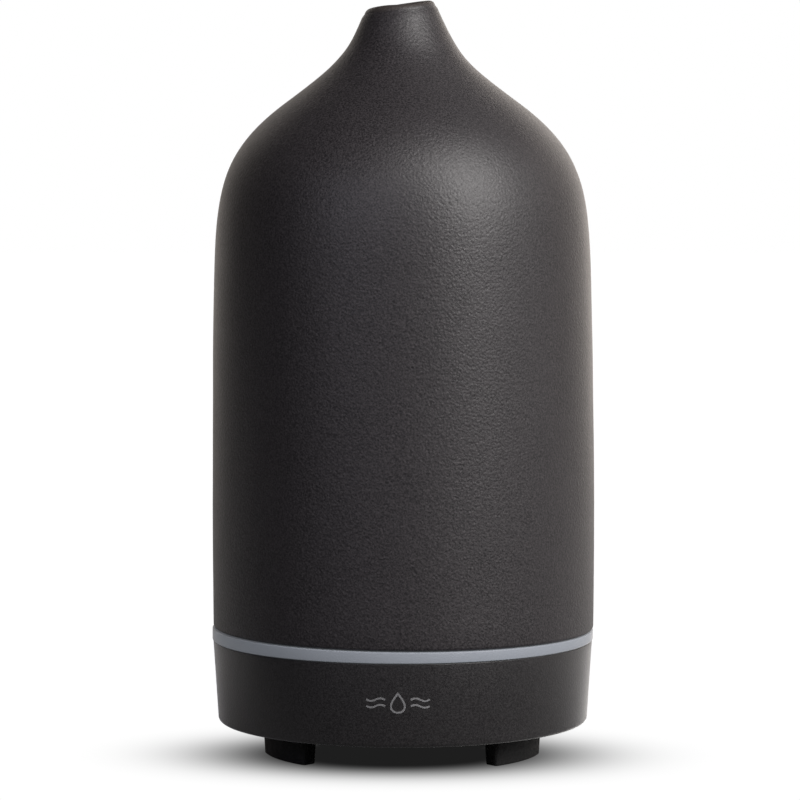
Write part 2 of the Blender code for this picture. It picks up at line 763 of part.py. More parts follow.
def build_wiring():
    plug = PART_SEAT + 5.15
    for kind, side in (("red", -1), ("black", 1)):
        shift = side * 1.2
        wire(f"transducer_lead_{kind}",
             [(shift * 1.6, 0, 31.55), (shift * 1.6, 0, 28.0), (shift - 2.5, -5, 25.5),
              (shift - 5.0, -12, 24.0), (shift - 6.0, -16, 22.0), (shift - 6.0, -16, plug)],
             f"{kind}_wire")
        wire(f"fan_lead_{kind}",
             [(1.3, shift - 1.0, 18.0), (-0.6, shift - 0.6, 18.6), (-2.6, shift + 0.8, 21.0),
              (shift - 4.4, 2.0, 21.2), (shift - 4.5, 2.0, plug)],
             f"{kind}_wire")
        wire(f"led_lead_{kind}",
             [(-36.4, shift - 6.0, 20.75), (-35.6, shift - 6.0, 18.5), (-34.4, shift - 6.0, 16.0),
              (-34.0, shift - 6.0, PART_SEAT)],
             f"{kind}_wire")


def main():
    clear_scene()
    build_cover()
    build_lid()
    build_reservoir()
    build_transducer()
    build_shell()
    build_light_ring()
    build_floor_plate()
    build_feet()
    build_case_screws()
    build_main_board()
    build_board_parts()
    build_led_ring()
    build_power_inlet()
    build_buttons()
    build_fan()
    build_wiring()


main()
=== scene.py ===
"""Looks for the essential oil diffuser: stoneware cover, frosted ring, black base, studio."""

import math

import bmesh
import bpy
from mathutils import Matrix, Vector, noise


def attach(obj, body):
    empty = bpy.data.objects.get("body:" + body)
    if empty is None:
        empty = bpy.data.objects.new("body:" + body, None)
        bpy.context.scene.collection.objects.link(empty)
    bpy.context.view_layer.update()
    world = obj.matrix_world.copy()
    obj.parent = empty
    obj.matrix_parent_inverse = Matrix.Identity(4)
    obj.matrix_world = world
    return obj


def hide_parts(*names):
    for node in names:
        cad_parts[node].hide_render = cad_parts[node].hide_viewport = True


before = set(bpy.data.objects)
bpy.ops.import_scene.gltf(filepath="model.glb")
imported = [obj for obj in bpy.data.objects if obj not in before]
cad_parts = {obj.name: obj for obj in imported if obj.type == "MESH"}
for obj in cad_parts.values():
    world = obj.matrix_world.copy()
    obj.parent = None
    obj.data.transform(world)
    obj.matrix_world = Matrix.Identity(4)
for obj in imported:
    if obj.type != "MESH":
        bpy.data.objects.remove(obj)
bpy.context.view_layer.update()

MM = 0.001

# ---- the photograph's view, fitted to the ring, the base's edge and the feet ------------
CAMERA_PLACE = (-0.64 * MM, -791.0 * MM, 133.8 * MM)
CAMERA_TURN = math.radians(1.45)     # and then swung round the object's axis by this much
CAMERA_PITCH = math.radians(3.64)
CAMERA_LENS = 150.1

# ---- cover, as in the CAD model ---------------------------------------------------------
COVER_WALL = 4.0
NECK_WALL = 3.2
COVER_LOW = 29.5
LIP_HEIGHT = 176.87
LIP_SLOPE_X = 0.139        # the mouth is cut lower on the left
LIP_SLOPE_Y = 0.09         # and lower at the front
LIP_SHEAR_START = 164.0    # the slant sets in between these heights
LIP_SHEAR_FULL = 174.0
LIP_ROUND_OUTER = 1.5
LIP_ROUND_INNER = 1.1
WALL_THINS_FROM = 140.0    # and the wall thins to the neck's between these
WALL_THIN_AT = 172.0
MOUTH_THINNER = 0.3        # it is this much thinner still at the mouth
EDGE_ROUND_OUTER = 0.8
EDGE_ROUND_INNER = 0.5
NECK_CURVE = ((8.35, 176.2), (13.15, 164.8), (15.1, 163.1), (26.6, 154.5))
SHOULDER_CURVE = ((26.6, 154.5), (44.0, 141.9), (44.0, 133.0), (44.75, 107.3))
SIDE_CURVE = ((44.75, 107.3), (45.2, 88.0), (45.5, 52.0), (45.25, COVER_LOW + EDGE_ROUND_OUTER))
NECK_TAPER = 0.42          # the neck widens by this much for each millimetre down
LIP_BULGE = 0.55           # the lip stands proud by this much at the front left
BULGE_DIRECTION = -125.0
BULGE_WIDTH = 45.0
EDGE_TILT = -0.0055        # the hand-cut edge stands a little higher on the left
EDGE_TILT_FADE = 12.0      # and its tilt is gone this far up
COVER_LEAN = -0.0028       # the cover leans to the left by this much for each millimetre up
COVER_MIDDLE = 110.0
WAVINESS = ((0.10, 0.022), (0.05, 0.09))   # depth and pace of the clay's wide and narrow waves
LIP_WEAR_HIGHLIGHT_FROM = 0.9            # the lip is paler from this far below its slanted edge, partly worn clay and partly a painted highlight
LIP_WEAR_HIGHLIGHT_FULL = 0.2
LIP_WEAR_HIGHLIGHT_SHARE = 0.75

# ---- ring and base ----------------------------------------------------------------------
RING_RADIUS = 45.3
RING_LOW = 26.8
RING_HIGH = 29.35
RING_COLLAR_INNER = 38.7   # the collar below it, over the LEDs
RING_COLLAR_OUTER = 40.2
RING_COLLAR_LOW = 23.8
RING_TOP_BAND = 0.5        # this much of the ring's top follows the tilt of the cover's edge

SHELL_LOW = 7.4
SHELL_TOP = 26.65
SHELL_RADIUS_LOW = 43.95
SHELL_RADIUS_TOP = 45.1
SHELL_FACING = -4          # the wall faces down by this many degrees
SHELL_INNER_TOP = 42.1
SHELL_INNER_LOW = 41.2
LIGHT_LEDGE = (40.3, 19.5, 20.8)   # radius, underside and top of the light board's ledge
PLATE_LEDGE = (39.6, 10.1, 11.3)   # and of the one just above the bottom plate

PLATE_LOW = 7.9
PLATE_TOP = 9.9
PLATE_RADIUS = 40.9
PLATE_CHAMFER = 0.3
SLOT_PITCH = 3.4           # between two intake slots
SLOT_HALF_WIDTH = 0.9
INTAKE_RADIUS = 10.5       # of the circle that the slots fill

FOOT_ANGLES = {"foot_front_left": 210.0, "foot_front_right": 330.0, "foot_rear": 90.0}
FOOT_INNER = 28.9
FOOT_OUTER = 33.8
FOOT_HALF_ANGLE = 19.0
FOOT_TOP = 8.3
FOOT_CORNER = 1.3          # rounding of a foot's corners, seen from above
FOOT_DRAFT = 0.5           # how far its sides lean in at the sole
FOOT_SOLE_ROUND = 0.35
FOOT_PLAY = 0.2            # gap between a foot and its pocket

CONTROL_HEIGHT = 17.0      # of the buttons and the power inlet in the rear wall
BUTTON_ANGLES = {"mist": 115.0, "light": 65.0}
BUTTON_RADIUS = 2.9
BUTTON_FLANGE = 3.75
BUTTON_FACE = 45.3         # distance of its face from the object's axis
BUTTON_HOLE = 3.15
BUTTON_HOLE_MOUTH = 3.55
BUTTON_POCKET = 4.1
INLET_ANGLE = 90.0
INLET_HOLE = 4.0
INLET_NOSE = 3.8
INLET_BORE = 2.85

# ---- tank and lid -----------------------------------------------------------------------
RIM_HEIGHT = 72.0
FILL_LINE = 63.0
TANK_RADIUS = 37.9
TANK_WALL = 1.6
TANK_SKIRT = 38.3
TANK_SKIRT_LOW = 23.6
TANK_INNER = 36.2          # inner radius of the skirt
WELL_RADIUS = 8.3          # the well over the mist disc, and the seat below it
DISC_SEAT_RADIUS = 12.0
DISC_SEAT_HEIGHT = 34.0
TANK_FLOOR = 30.8          # underside of the seat and of the clamp's posts
POST_ROOT = 36.0           # all posts reach up into the bowl's floor to here

CASE_POST_RADIUS = 31.5    # distance of the three case screws from the axis
CASE_POST_ANGLES = (45.0, 165.0, 285.0)
CASE_POST_TOP = 15.8       # where the plate's posts meet the tank's
PLATE_POST = 4.0           # radii of the plate's posts, the wells for the heads and the holes
SCREW_WELL = 2.7
SCREW_HOLE = 1.5
SCREW_WELL_TOP = 11.8
TANK_POST = 3.0
TANK_POST_HOLE = 1.4
CLAMP_SCREW_RADIUS = 17.4
CLAMP_SCREW_ANGLES = (30.0, 150.0, 270.0)
CLAMP_POST = 2.6
CLAMP_POST_HOLE = 1.3
DUCT_CENTRE = (25.0, -6.0)
DUCT_RADIUS = 6.2
DUCT_BORE = 4.8
DUCT_LOW = 36.5
DUCT_TOP = 67.0
FAN_CENTRE = (16.5, -4.0)

LID_WALL = 1.6
LID_RADIUS = 37.0
LID_SKIRT = 35.9
LID_SKIRT_LOW = 66.5
LID_FLANGE = 38.4
LID_FLANGE_LOW = RIM_HEIGHT + 0.25
LID_FLANGE_TOP = RIM_HEIGHT + 1.55
CHIMNEY_RADIUS = 6.3
CHIMNEY_TOP = 164.5
BELL_CURVE = ((LID_RADIUS, 92.0), (LID_RADIUS, 116.0), (10.0, 122.0), (CHIMNEY_RADIUS, 146.0))

# ---- printed mark -----------------------------------------------------------------------
MARK_HEIGHT = 17.8         # middle of the printed mark above the table
MARK_STROKE = 0.42
MARK_PROUD = 0.02          # the print stands out from the wall by this much
MARK_SUNK = -0.06          # and reaches into it by this much
DROP_SIZE = (4.2, 4.4)
DROP_STEPS = 56
WAVE_START = 2.9           # distance of a wave's near end from the mark's middle
WAVE_LENGTH = 4.3
WAVE_HEIGHT = 0.32
WAVE_ROWS = (-0.75, 0.75)
WAVE_STEPS = 24

# ---- table, shadow and room -------------------------------------------------------------
FLOOR_HALF_SIZE = 6000.0
FLOOR_WHITE = 1.015        # how bright the table is away from the object
FLOOR_DARK = 0.013         # and right under it
SHADOW_PLACE = (-1.5, -8.0)
SHADOW_STRETCH = 1.48      # the soft shadow is this much wider than it is deep
SHADOW_FROM = 15.0         # distances from its middle where it starts to fade and where it ends
SHADOW_TO = 60.0
SHADOW_FADE = 7.1          # how soon it fades in between, and with what curve
SHADOW_CURVE = 2.2
CONTACT_PLACE = (0.0, 12.0)    # a smaller round one lies under the rear of the base
CONTACT_FROM = 22.0
CONTACT_TO = 38.0
FLOOR_BOUNCE_FRONT = 0.07  # share of its light that the table gives back, in front
FLOOR_BOUNCE_REAR = 0.75   # and behind
BOUNCE_FROM = -60.0        # places along Y between which the one turns into the other
BOUNCE_TO = 80.0
FILL_STRENGTH = 0.004      # of the grey room round the object
LIGHT_AIM = 90.0           # height that every softbox points at

# ---- how finely things are made ---------------------------------------------------------
ROUND = 240                # steps round the axis of large, middling and small round things
MEDIUM = 96
BUTTON_STEPS = 64
HOLE_STEPS = 48
SMALL = 40
POCKET_STEPS = 32
CUT_PAST = 1.0             # cutters reach past a face by this much
SMOOTH_ANGLE = math.radians(30.0)


# ---- mesh helpers -----------------------------------------------------------------------
def ramp(value, low, high):
    """0 up to `low`, 1 from `high` on, and even in between."""
    return min(max((value - low) / (high - low), 0.0), 1.0)


def polar(radius, degrees):
    angle = math.radians(degrees)
    return radius * math.cos(angle), radius * math.sin(angle)


def bezier(handles, count):
    """Points along a cubic, without its last end."""
    first, leave, arrive, last = (Vector(point) for point in handles)
    points = []
    for step in range(count):
        t = step / count
        s = 1 - t
        points.append(first * s**3 + leave * (3 * s * s * t) + arrive * (3 * s * t * t) + last * t**3)
    return points


def arc(centre, radius, start, end, count):
    points = []
    for step in range(count + 1):
        angle = math.radians(start + (end - start) * step / count)
        points.append((centre[0] + radius * math.cos(angle), centre[1] + radius * math.sin(angle)))
    return points


def rounding(corner, radius, start, end, count):
    """Arc that rounds off a corner of an outline; its middle angle points towards the corner."""
    middle = math.radians((start + end) / 2)
    centre = (corner[0] - math.copysign(radius, math.cos(middle)),
              corner[1] - math.copysign(radius, math.sin(middle)))
    return arc(centre, radius, start, end, count)


def to_object(name, mesh, material, smooth=True):
    """Turn a bmesh in millimetres into a named object in metres."""
    bmesh.ops.recalc_face_normals(mesh, faces=mesh.faces)
    bmesh.ops.scale(mesh, vec=(MM, MM, MM), verts=mesh.verts)
    data = bpy.data.meshes.new(name)
    mesh.to_mesh(data)
    mesh.free()
    obj = bpy.data.objects.new(name, data)
    bpy.context.scene.collection.objects.link(obj)
    if material:
        data.materials.append(material)
    if smooth:
        data.shade_smooth()
        data.set_sharp_from_angle(angle=SMOOTH_ANGLE)
    return obj


def spin_profile(profile, steps, closed):
    """Spin (radius, height) points round Z."""
    mesh = bmesh.new()
    rings = []
    for radius, height in profile:
        if radius == 0:
            rings.append([mesh.verts.new((0, 0, height))])
            continue
        ring = []
        for step in range(steps):
            angle = 2 * math.pi * step / steps
            ring.append(mesh.verts.new((radius * math.cos(angle), radius * math.sin(angle), height)))
        rings.append(ring)
    pairs = list(zip(rings, rings[1:]))
    if closed:
        pairs.append((rings[-1], rings[0]))
    for lower, upper in pairs:
        for step in range(steps):
            after = (step + 1) % steps
            if len(lower) == 1:
                corners = (lower[0], upper[step], upper[after])
            elif len(upper) == 1:
                corners = (lower[step], lower[after], upper[0])
            else:
                corners = (lower[step], lower[after], upper[after], upper[step])
            mesh.faces.new(corners)
    return mesh


def lathe(name, profile, steps, material=None, turn=None, at=(0, 0, 0)):
    """A turned part: solid where its profile starts on the axis, otherwise a closed ring."""
    mesh = spin_profile(profile, steps, closed=profile[0][0] > 0)
    if turn is not None:
        bmesh.ops.transform(mesh, matrix=turn, verts=mesh.verts)
    bmesh.ops.translate(mesh, vec=at, verts=mesh.verts)
    return to_object(name, mesh, material)


def rod(name, radius, low, high, at):
    """An upright rod, to be joined to a piece or cut from it."""
    profile = [(0, low), (radius, low), (radius, high), (0, high)]
    return lathe(name, profile, SMALL, at=(*at, 0))


def sweep(slices, closed=False):
    """Join a run of matching sections into one body, with an end face at each end or as a loop."""
    mesh = bmesh.new()
    rings = [[mesh.verts.new(point) for point in section] for section in slices]
    pairs = list(zip(rings, rings[1:]))
    if closed:
        pairs.append((rings[-1], rings[0]))
    for one, two in pairs:
        for index in range(len(one)):
            after = (index + 1) % len(one)
            mesh.faces.new((one[index], one[after], two[after], two[index]))
    if not closed:
        mesh.faces.new(rings[0])
        mesh.faces.new(rings[-1])
    return mesh


def upright(name, outline, low, high, material=None):
    """A body with the same outline from `low` to `high`."""
    slices = [[(*point, height) for point in outline] for height in (low, high)]
    return to_object(name, sweep(slices), material)


def facing_out(degrees, height):
    """Matrix that lays a Z-axis part along the outward direction at this angle."""
    spin = Matrix.Rotation(math.radians(degrees), 4, "Z")
    tip = Matrix.Rotation(math.radians(90), 4, "Y")
    return Matrix.Translation((0, 0, height)) @ spin @ tip


def combine(target, others, operation):
    """Join the others to the target, or cut them from it, and take them away."""
    for other in others:
        modifier = target.modifiers.new("combine", "BOOLEAN")
        modifier.operation = operation
        modifier.solver = "EXACT"
        modifier.object = other
        bpy.context.view_layer.update()
        graph = bpy.context.evaluated_depsgraph_get()
        merged = bpy.data.meshes.new_from_object(target.evaluated_get(graph))
        target.modifiers.clear()
        target.data = merged
        bpy.data.objects.remove(other, do_unlink=True)
    target.data.set_sharp_from_angle(angle=SMOOTH_ANGLE)


def dress(piece, body, replaced):
    """Put a piece on its body, in place of a CAD node if it replaces one."""
    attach(piece, body)
    if replaced:
        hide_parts(replaced)


# ---- materials --------------------------------------------------------------------------
class Nodes:
    """A short way to write a material's nodes."""

    def __init__(self, name):
        self.material = bpy.data.materials.new(name)
        self.material.use_nodes = True
        self.tree = self.material.node_tree
        self.shader = self.tree.nodes["Principled BSDF"]
        self.coords = self.tree.nodes.new("ShaderNodeTexCoord").outputs["Object"]

    def add(self, kind, **values):
        """Make a node; a value that is a socket is linked, any other is set."""
        node = self.tree.nodes.new(kind)
        for key, value in values.items():
            socket = node.inputs.get(key.replace("_", " "))
            if socket is None:
                setattr(node, key, value)
            elif isinstance(value, bpy.types.NodeSocket):
                self.tree.links.new(value, socket)
            else:
                socket.default_value = value
        return node

    def noise(self, scale, detail=2.0, roughness=0.5):
        node = self.add("ShaderNodeTexNoise", Vector=self.coords, Scale=scale, Detail=detail,
                        Roughness=roughness)
        return node.outputs["Fac"]

    def cells(self, scale, smooth):
        node = self.add("ShaderNodeTexVoronoi", feature="SMOOTH_F1", Vector=self.coords, Scale=scale,
                        Smoothness=smooth)
        return node.outputs["Distance"]

    def fit(self, value, low, high, new_low, new_high):
        node = self.add("ShaderNodeMapRange")
        self.tree.links.new(value, node.inputs["Value"])
        node.inputs["From Min"].default_value = low
        node.inputs["From Max"].default_value = high
        node.inputs["To Min"].default_value = new_low
        node.inputs["To Max"].default_value = new_high
        return node.outputs["Result"]

    def blend(self, factor, one, two):
        node = self.tree.nodes.new("ShaderNodeMix")
        node.data_type = "RGBA"
        self.tree.links.new(factor, node.inputs["Factor"])
        colour_inputs = [socket for socket in node.inputs if socket.type == "RGBA"]
        for value, socket in zip((one, two), colour_inputs):
            if isinstance(value, bpy.types.NodeSocket):
                self.tree.links.new(value, socket)
            else:
                socket.default_value = (*value, 1.0)
        return [out for out in node.outputs if out.type == "RGBA"][0]

    def math(self, operation, one, two):
        node = self.tree.nodes.new("ShaderNodeMath")
        node.operation = operation
        for value, socket in zip((one, two), node.inputs):
            if isinstance(value, bpy.types.NodeSocket):
                self.tree.links.new(value, socket)
            else:
                socket.default_value = value
        return node.outputs["Value"]

    def bump(self, height, distance, strength):
        node = self.add("ShaderNodeBump", Height=height, Distance=distance, Strength=strength)
        self.tree.links.new(node.outputs["Normal"], self.shader.inputs["Normal"])

    def use(self, **values):
        """Set or link the shader's own sockets."""
        for key, value in values.items():
            socket = self.shader.inputs[key.replace("_", " ")]
            if isinstance(value, bpy.types.NodeSocket):
                self.tree.links.new(value, socket)
            elif isinstance(value, tuple):
                socket.default_value = (*value, 1.0)
            else:
                socket.default_value = value


def stoneware():
    """Unglazed charcoal stoneware: leathery grain under a millimetre across, a paler lip that is partly
    worn clay and partly a painted highlight.
    """
    made = Nodes("stoneware")
    mottle = made.fit(made.noise(90.0, 3.0), 0.3, 0.7, 0.0, 1.0)
    grain = made.noise(2000.0, 3.0, 0.6)
    speck = made.fit(made.noise(2600.0, 2.0), 0.35, 0.65, 0.0, 1.0)
    tone = made.blend(mottle, (0.009, 0.0078, 0.009), (0.013, 0.0112, 0.0126))
    tone = made.blend(speck, tone, (0.041, 0.0365, 0.039))
    # paler lip: partly worn clay, partly a painted highlight along its edge
    tone = made.blend(lip_wear_and_highlight(made), tone, (0.055, 0.046, 0.042))
    pits = made.cells(1600.0, 0.8)
    height = made.math("ADD", made.math("MULTIPLY", pits, 0.8), made.math("MULTIPLY", grain, 0.7))
    made.use(Base_Color=tone, Roughness=made.fit(grain, 0.3, 0.7, 0.42, 0.52), Specular_IOR_Level=0.5)
    made.bump(height, 0.00016, 0.5)
    return made.material


def lip_wear_and_highlight(made):
    """Mask of the paler lip, worn clay and a painted highlight: 1 along the slanted edge of the mouth, 0
    below it.
    """
    split = made.add("ShaderNodeSeparateXYZ", Vector=made.coords).outputs
    level = made.math("SUBTRACT", split["Z"], made.math("MULTIPLY", split["X"], LIP_SLOPE_X))
    level = made.math("SUBTRACT", level, made.math("MULTIPLY", split["Y"], LIP_SLOPE_Y))
    edge = LIP_HEIGHT * MM
    return made.fit(level, edge - LIP_WEAR_HIGHLIGHT_FROM * MM, edge - LIP_WEAR_HIGHLIGHT_FULL * MM, 0.0, LIP_WEAR_HIGHLIGHT_SHARE)


def black_plastic():
    """Moulded black plastic with a fine spark-eroded texture."""
    made = Nodes("black_plastic")
    grain = made.noise(2400.0, 2.0)
    tone = made.blend(made.noise(60.0), (0.0096, 0.0087, 0.0096), (0.0126, 0.0115, 0.0123))
    tone = made.blend(made.fit(grain, 0.35, 0.65, 0.0, 1.0), tone, (0.0245, 0.0228, 0.0238))
    made.use(Base_Color=tone, Roughness=made.fit(grain, 0.3, 0.7, 0.34, 0.44),
             Specular_IOR_Level=0.57, Sheen_Weight=1.0, Sheen_Roughness=0.27)
    made.bump(grain, 0.00008, 0.6)
    return made.material


def frosted():
    """Frosted light guide, with a painted faint even glow that stands in for daylight entering it and
    coming out again.
    """
    made = Nodes("frosted")
    grain = made.noise(2500.0, 2.0)
    tone = made.blend(made.noise(70.0), (0.19, 0.205, 0.235), (0.215, 0.23, 0.26))
    # the emission is a painted glow standing in for light scattered through the frosted plastic
    made.use(Base_Color=tone, Roughness=made.fit(grain, 0.3, 0.7, 0.46, 0.58),
             Emission_Color=(0.84, 0.92, 1.0), Emission_Strength=0.085,
             Sheen_Weight=1.0, Sheen_Roughness=0.25)
    made.bump(grain, 0.00003, 0.4)
    return made.material


def moulded(name, dark, light, roughness, scale=1800.0, depth=0.00003):
    """A plain moulded or printed surface: slight tone change and a fine grain."""
    made = Nodes(name)
    grain = made.noise(scale, 2.0)
    made.use(Base_Color=made.blend(made.noise(80.0), dark, light),
             Roughness=made.fit(grain, 0.3, 0.7, roughness - 0.05, roughness + 0.06))
    made.bump(grain, depth, 0.4)
    return made.material


def metal(name, dark, light, roughness):
    made = Nodes(name)
    grain = made.noise(2600.0, 3.0)
    made.use(Base_Color=made.blend(grain, dark, light), Metallic=1.0,
             Roughness=made.fit(grain, 0.3, 0.7, roughness - 0.07, roughness + 0.08))
    made.bump(grain, 0.00001, 0.3)
    return made.material


def make_materials():
    return {
        "stoneware": stoneware(),
        "black_plastic": black_plastic(),
        "frosted": frosted(),
        "white_plastic": moulded("white_plastic", (0.60, 0.60, 0.585), (0.66, 0.66, 0.64), 0.36),
        "rubber": moulded("rubber", (0.008, 0.008, 0.009), (0.012, 0.012, 0.012), 0.72, 900.0),
        "silicone": moulded("silicone", (0.60, 0.60, 0.57), (0.68, 0.68, 0.65), 0.5),
        "steel": metal("steel", (0.48, 0.48, 0.50), (0.62, 0.62, 0.63), 0.3),
        "circuit_board": moulded("circuit_board", (0.012, 0.10, 0.04), (0.02, 0.15, 0.06), 0.38, 1400.0),
        "white_board": moulded("white_board", (0.68, 0.68, 0.65), (0.75, 0.75, 0.72), 0.42),
        "chip": moulded("chip", (0.012, 0.012, 0.012), (0.02, 0.02, 0.02), 0.5),
        "aluminium": metal("aluminium", (0.58, 0.59, 0.60), (0.72, 0.72, 0.73), 0.34),
        "copper": metal("copper", (0.45, 0.18, 0.07), (0.62, 0.28, 0.12), 0.36),
        "capacitor_sleeve": moulded("capacitor_sleeve", (0.015, 0.03, 0.10), (0.02, 0.04, 0.13), 0.28),
        "red_wire": moulded("red_wire", (0.40, 0.012, 0.012), (0.50, 0.02, 0.02), 0.4),
        "black_wire": moulded("black_wire", (0.012, 0.012, 0.012), (0.02, 0.02, 0.02), 0.4),
        "led": moulded("led", (0.75, 0.70, 0.36), (0.85, 0.80, 0.45), 0.25),
        "print": moulded("print", (0.17, 0.17, 0.175), (0.21, 0.21, 0.215), 0.5),
    }


# ---- cover ------------------------------------------------------------------------------
def wall_thickness(height):
    return COVER_WALL + (NECK_WALL - COVER_WALL) * ramp(height, WALL_THINS_FROM, WALL_THIN_AT)


def cover_profile():
    """The wall's outline with a level mouth: over the lip, down the outside and up the inside."""
    outer = bezier(NECK_CURVE, 26) + bezier(SHOULDER_CURVE, 34) + bezier(SIDE_CURVE, 16)
    outer.append(Vector(SIDE_CURVE[-1]))
    inner = []
    for before, here, after in zip(outer, outer[1:], outer[2:]):
        along = (after - before).normalized()
        inner.append(here + Vector((along.y, -along.x)) * wall_thickness(here.y))
    mouth = NECK_CURVE[0][0]
    bore = mouth - NECK_WALL + MOUTH_THINNER
    inner = [point for point in inner[2::2] if point.x > bore]
    foot = SIDE_CURVE[-1][0]
    profile = rounding((mouth, LIP_HEIGHT), LIP_ROUND_OUTER, 85, 10, 8)
    profile += [tuple(point) for point in outer[1:]]
    profile += rounding((foot, COVER_LOW), EDGE_ROUND_OUTER, -15, -90, 5)
    profile += rounding((foot - COVER_WALL, COVER_LOW), EDGE_ROUND_INNER, -90, -180, 4)
    profile += [tuple(point) for point in reversed(inner)]
    profile += rounding((bore, LIP_HEIGHT), LIP_ROUND_INNER, 180, 95, 6)
    return profile


def lip_shear(height):
    """How much of the mouth's slant a point at this height takes on, with a soft start and end."""
    blend = ramp(height, LIP_SHEAR_START, LIP_SHEAR_FULL)
    return blend * blend * (3 - 2 * blend)


def build_cover(materials):
    """The cover's wall, with the slanted mouth and the slight unevenness of thrown clay."""
    mesh = spin_profile(cover_profile(), ROUND, closed=True)
    for vert in mesh.verts:
        x, y, z = vert.co
        rise = lip_shear(z) * (LIP_SLOPE_X * x + LIP_SLOPE_Y * y)
        vert.co.z += rise
        turn = math.degrees(math.atan2(y, x)) - BULGE_DIRECTION
        vert.co.z += LIP_BULGE * lip_shear(z) * math.exp(-((turn / BULGE_WIDTH) ** 2))
        near_edge = max(0.0, 1.0 - (z - COVER_LOW) / EDGE_TILT_FADE)
        vert.co.z += near_edge * EDGE_TILT * x
        spot = Vector((x, y, z))
        wobble = sum(depth * noise.noise(spot * pace) for depth, pace in WAVINESS)
        spread = 1.0 + (wobble - NECK_TAPER * rise) / math.hypot(x, y)
        vert.co.x = x * spread + COVER_LEAN * (z - COVER_MIDDLE)
        vert.co.y = y * spread
    cover = to_object("stone_cover", mesh, materials["stoneware"])
    dress(cover, "ceramic_cover", "ceramic_cover")


# ---- ring, shell and feet ---------------------------------------------------------------
def build_ring(materials):
    """Frosted light ring; its top follows the cover's edge."""
    profile = [(RING_COLLAR_OUTER, RING_LOW)]
    profile += rounding((RING_RADIUS, RING_LOW), 0.2, -90, 0, 4)
    profile += rounding((RING_RADIUS, RING_HIGH), 0.25, 0, 90, 4)
    profile += [
        (RING_COLLAR_INNER, RING_HIGH),
        (RING_COLLAR_INNER, RING_COLLAR_LOW),
        (RING_COLLAR_OUTER, RING_COLLAR_LOW),
    ]
    mesh = spin_profile(profile, ROUND, closed=True)
    for vert in mesh.verts:
        if vert.co.z > RING_HIGH - RING_TOP_BAND:
            vert.co.z += EDGE_TILT * vert.co.x
    ring = to_object("frosted_ring", mesh, materials["frosted"])
    dress(ring, "base", "light_ring")


def shell_profile():
    """Tapered side wall with a ledge for the light board and one for the bottom plate."""
    profile = rounding((SHELL_RADIUS_LOW, SHELL_LOW), 0.95, -90, SHELL_FACING, 7)
    profile += rounding((SHELL_RADIUS_TOP, SHELL_TOP), 0.15, SHELL_FACING, 90, 5)
    radius, low, top = LIGHT_LEDGE
    profile += [(SHELL_INNER_TOP + 0.3, SHELL_TOP), (SHELL_INNER_TOP, top), (radius, top), (radius, low)]
    profile += [(SHELL_INNER_TOP - 0.1, low - 0.8)]
    radius, low, top = PLATE_LEDGE
    profile += [(SHELL_INNER_LOW + 0.1, top), (radius, top), (radius, low), (SHELL_INNER_LOW, low)]
    profile += [(SHELL_INNER_LOW, SHELL_LOW + 0.2), (SHELL_INNER_LOW + 0.2, SHELL_LOW)]
    return profile


def rear_cutters():
    """What the wall is cut with: each button's hole and the pocket behind it, and the inlet."""
    hole = [
        (0, 38),
        (BUTTON_HOLE, 38),
        (BUTTON_HOLE, 44.1),
        (BUTTON_HOLE_MOUTH, 44.9),
        (BUTTON_HOLE_MOUTH, 48),
        (0, 48),
    ]
    pocket = [(0, 38), (BUTTON_POCKET, 38), (BUTTON_POCKET, 41.5), (0, 41.5)]
    inlet = [(0, 36), (INLET_HOLE, 36), (INLET_HOLE, 48), (0, 48)]
    cutters = []
    for angle in BUTTON_ANGLES.values():
        place = facing_out(angle, CONTROL_HEIGHT)
        cutters.append(lathe("hole", hole, HOLE_STEPS, turn=place))
        cutters.append(lathe("pocket", pocket, POCKET_STEPS, turn=place))
    place = facing_out(INLET_ANGLE, CONTROL_HEIGHT)
    cutters.append(lathe("inlet", inlet, HOLE_STEPS, turn=place))
    return cutters


def build_shell(materials):
    """The base's wall, cut for the buttons and the power inlet."""
    shell = lathe("shell_skin", shell_profile(), ROUND, materials["black_plastic"])
    combine(shell, rear_cutters(), "DIFFERENCE")
    dress(shell, "base", "base_shell")


def pad_outline(middle, inset):
    """Plan of a foot, drawn in by `inset` all round: a bent bar with rounded corners."""
    centres = (FOOT_OUTER - FOOT_CORNER, FOOT_INNER + FOOT_CORNER)
    spans = [FOOT_HALF_ANGLE - math.degrees(math.asin(FOOT_CORNER / radius)) for radius in centres]
    outline = arc((0, 0), FOOT_OUTER - inset, middle - spans[0], middle + spans[0], 24)[1:-1]
    for side, row in ((1, 0), (1, 1), (-1, 1), (-1, 0)):
        turn = middle + side * spans[row]
        ends = [turn + side * 180 * row, middle + side * (FOOT_HALF_ANGLE + 90)]
        outline += arc(polar(centres[row], turn), FOOT_CORNER - inset, min(ends), max(ends), 8)
        if (side, row) == (1, 1):
            outline += arc((0, 0), FOOT_INNER + inset, middle + spans[1], middle - spans[1], 24)[1:-1]
    return outline


def build_feet(materials):
    """Rubber pads, a little narrower at the sole, with a rounded sole edge."""
    levels = []
    for step in reversed(range(5)):
        angle = step * math.pi / 8
        height = FOOT_SOLE_ROUND - FOOT_SOLE_ROUND * math.sin(angle)
        inset = FOOT_SOLE_ROUND - FOOT_SOLE_ROUND * math.cos(angle)
        levels.append((height, FOOT_DRAFT + inset))
    levels.append((FOOT_TOP, 0.0))
    for name, middle in FOOT_ANGLES.items():
        slices = [[(*point, height) for point in pad_outline(middle, inset)] for height, inset in levels]
        pad = to_object(f"pad_{name}", sweep(slices), materials["rubber"])
        dress(pad, "base", name)


